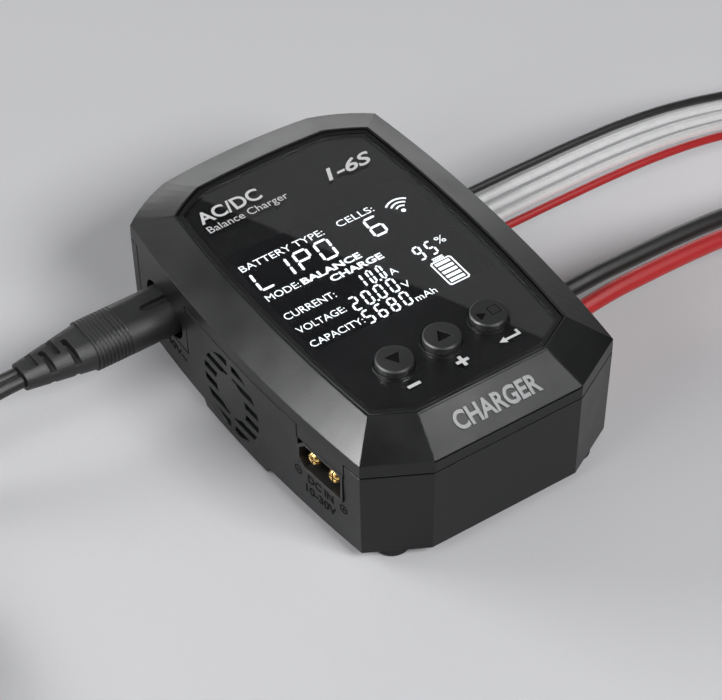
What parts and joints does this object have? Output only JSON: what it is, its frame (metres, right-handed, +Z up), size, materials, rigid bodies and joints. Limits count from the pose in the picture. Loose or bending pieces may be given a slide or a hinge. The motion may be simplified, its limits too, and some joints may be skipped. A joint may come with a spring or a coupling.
{
  "type": "balance battery charger",
  "caption": "Compact balance charger with an octagonal two-part case, glass display top, push buttons, side fan, mains and direct-current inlets, and charge and balance leads.",
  "frame": {"origin": "on the table, under the middle of the case, measured without the leads", "axes": "+Z up; +Y towards the rear edge above the display; +X towards the charge output and balance header; the mains inlet, fan and direct-current inlet are on the -X side"},
  "size_m": [0.4289, 0.1122, 0.0384],
  "materials": {
    "housing_plastic": "fine-grained dark grey moulded plastic",
    "trim_plastic": "fine-grained grey moulded plate",
    "bezel_plastic": "satin dark grey ring",
    "display_glass": "smoked glossy cover glass, printed black behind",
    "lcd_glass": "negative segment display",
    "diffuser_plastic": "white light guide",
    "circuit_board": "green solder mask",
    "chip_plastic": "black epoxy",
    "switch_metal": "tinned steel frame",
    "button_plastic": "satin grey cap",
    "plunger_plastic": "orange plunger",
    "screw_steel": "zinc plated",
    "foot_rubber": "black rubber",
    "insulation_film": "clear blue film",
    "fan_plastic": "black glass-filled plastic",
    "copper_winding": "enamelled copper",
    "connector_plastic": "black nylon",
    "nickel_contact": "bright nickel",
    "gold_contact": "gold plated brass",
    "header_plastic": "ivory nylon",
    "ferrite": "dark sintered ferrite",
    "capacitor_sleeve": "dark blue sleeve",
    "fuse_ceramic": "white ceramic",
    "heatsink_aluminium": "extruded aluminium",
    "plug_rubber": "grained dark soft plastic",
    "cord_pvc": "satin dark sheath",
    "yellow_nylon": "yellow nylon",
    "wire_silicone": "soft silicone, coloured by wire"
  },
  "bodies": {
    "case": {"bottom_housing": "housing_plastic", "top_housing": "housing_plastic", "front_trim_plate": "trim_plastic", "display_bezel": "bezel_plastic", "glass_panel": "display_glass", "lcd_panel": "lcd_glass", "lcd_backlight": "diffuser_plastic", "control_board": "circuit_board", "microcontroller": "chip_plastic", "switch_bodies": "switch_metal", "power_board": "circuit_board", "board_screws": "screw_steel", "case_screws": "screw_steel", "rubber_feet": "foot_rubber", "insulation_sheet": "insulation_film", "fan_frame": "fan_plastic", "fan_stator": "copper_winding", "ac_inlet_body": "connector_plastic", "ac_inlet_pins": "nickel_contact", "dc_inlet_body": "connector_plastic", "dc_inlet_pins": "gold_contact", "output_socket_body": "connector_plastic", "output_socket_pins": "gold_contact", "balance_header": "header_plastic", "balance_pins": "nickel_contact", "transformer_core": "ferrite", "transformer_winding": "copper_winding", "bulk_capacitor": "capacitor_sleeve", "output_capacitors": "capacitor_sleeve", "line_choke": "copper_winding", "power_inductors": "copper_winding", "fuse": "fuse_ceramic", "heatsink": "heatsink_aluminium", "power_transistors": "chip_plastic", "board_connector": "chip_plastic", "buzzer": "chip_plastic"},
    "minus_key": {"minus_button": "button_plastic", "minus_plunger": "plunger_plastic"},
    "plus_key": {"plus_button": "button_plastic", "plus_plunger": "plunger_plastic"},
    "enter_key": {"enter_button": "button_plastic", "enter_plunger": "plunger_plastic"},
    "fan_impeller": {"fan_rotor": "fan_plastic"},
    "mains_lead": {"mains_plug": "plug_rubber", "mains_strain_relief": "plug_rubber", "mains_cord": "cord_pvc", "mains_cord_coil": "cord_pvc", "mains_cord_tail": "cord_pvc", "cord_tie": "cord_pvc", "wall_plug": "plug_rubber", "wall_plug_blades": "gold_contact"},
    "charge_lead": {"output_plug": "yellow_nylon", "output_wires": "wire_silicone", "battery_plug": "yellow_nylon"},
    "balance_lead": {"balance_plug": "header_plastic", "balance_wires": "wire_silicone", "balance_end_plug": "header_plastic"}
  },
  "joints": [
    {"name": "minus_press", "type": "slide", "parent": "case", "child": "minus_key", "axis": [0, 0, -1], "range_m": [0, 0.0006], "stiffness_N_per_m": 800, "springref_m": -0.001},
    {"name": "plus_press", "type": "slide", "parent": "case", "child": "plus_key", "axis": [0, 0, -1], "range_m": [0, 0.0006], "stiffness_N_per_m": 800, "springref_m": -0.001},
    {"name": "enter_press", "type": "slide", "parent": "case", "child": "enter_key", "axis": [0, 0, -1], "range_m": [0, 0.0006], "stiffness_N_per_m": 800, "springref_m": -0.001},
    {"name": "fan_spin", "type": "hinge", "parent": "case", "child": "fan_impeller", "pos_m": [-0.0347, 0.0011, 0.0148], "axis": [1, 0, 0], "continuous": true},
    {"name": "mains_plug_pull", "type": "slide", "parent": "case", "child": "mains_lead", "axis": [-1, 0, 0], "range_m": [0, 0.012]},
    {"name": "charge_plug_pull", "type": "slide", "parent": "case", "child": "charge_lead", "axis": [1, 0, 0], "range_m": [0, 0.012]},
    {"name": "balance_plug_pull", "type": "slide", "parent": "case", "child": "balance_lead", "axis": [1, 0, 0], "range_m": [0, 0.0065]}
  ]
}
